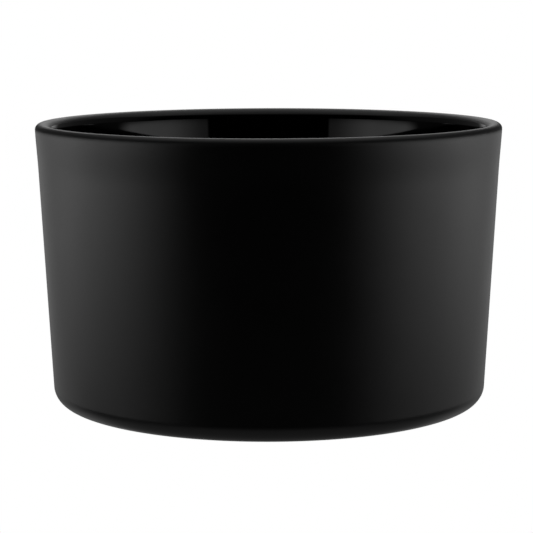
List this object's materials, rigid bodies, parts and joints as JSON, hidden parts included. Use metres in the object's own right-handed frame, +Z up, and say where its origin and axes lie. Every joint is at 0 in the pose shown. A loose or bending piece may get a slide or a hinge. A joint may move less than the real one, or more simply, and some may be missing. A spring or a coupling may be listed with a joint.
{
  "type": "candle jar",
  "caption": "Empty low wide glass candle bowl with a tapered wall, rounded lip and heel, gloss inside and satin lacquer outside.",
  "frame": {"origin": "centre of the base, on the surface that the jar stands on", "axes": "+Z up along the axis of the jar, towards its mouth; the jar is round, so X and Y are free"},
  "size_m": [0.112, 0.112, 0.0676],
  "materials": {
    "glass": "high gloss",
    "lacquer": "satin"
  },
  "bodies": {
    "root": {"glass_vessel": "glass", "lacquer_coat": "lacquer"}
  },
  "joints": []
}
